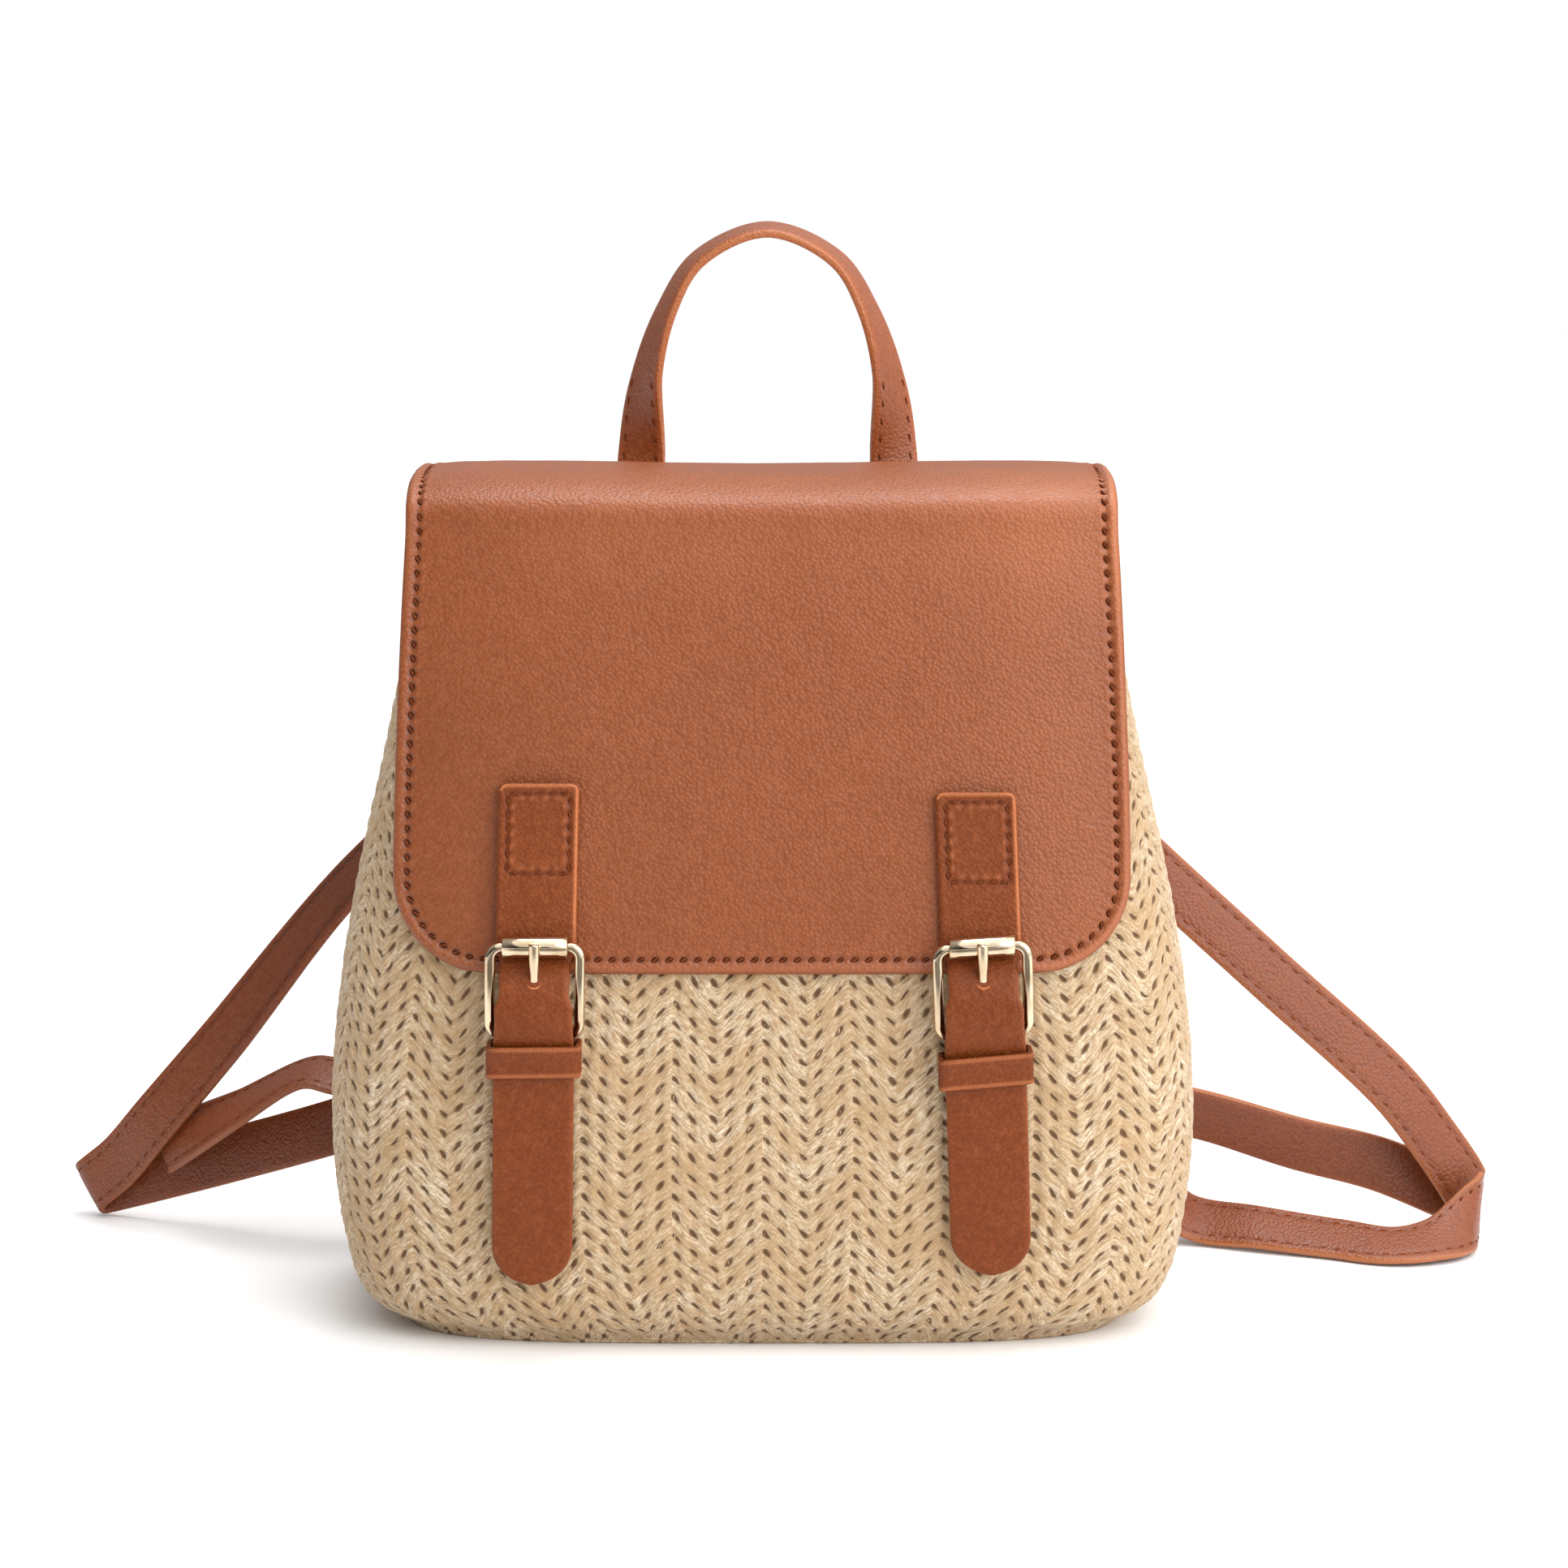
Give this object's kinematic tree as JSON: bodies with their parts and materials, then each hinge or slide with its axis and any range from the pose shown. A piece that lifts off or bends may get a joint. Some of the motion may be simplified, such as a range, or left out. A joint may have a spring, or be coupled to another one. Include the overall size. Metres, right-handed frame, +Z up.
{
  "type": "backpack",
  "caption": "Small woven straw backpack with a leather flap, roller-buckle closing straps, a top handle and two shoulder straps.",
  "frame": {"origin": "middle of the base, on the ground", "axes": "+Z up, front with the buckles towards -Y, +X to the right when seen from the front"},
  "size_m": [0.4305, 0.1627, 0.303],
  "materials": {
    "straw": "matt",
    "leather": "satin",
    "gold": "polished"
  },
  "bodies": {
    "root": {"woven_body": "straw", "woven_base": "straw", "flap": "leather", "top_handle": "leather", "strap_patch": "leather", "closure_strap_left": "leather", "buckle_tab_left": "leather", "keeper_left": "leather", "shoulder_strap_left": "leather", "ring_tab_left": "leather", "buckle_frame_left": "gold", "buckle_roller_left": "gold", "buckle_prong_left": "gold", "strap_ring_left": "gold", "closure_strap_right": "leather", "buckle_tab_right": "leather", "keeper_right": "leather", "shoulder_strap_right": "leather", "ring_tab_right": "leather", "buckle_frame_right": "gold", "buckle_roller_right": "gold", "buckle_prong_right": "gold", "strap_ring_right": "gold"}
  },
  "joints": []
}
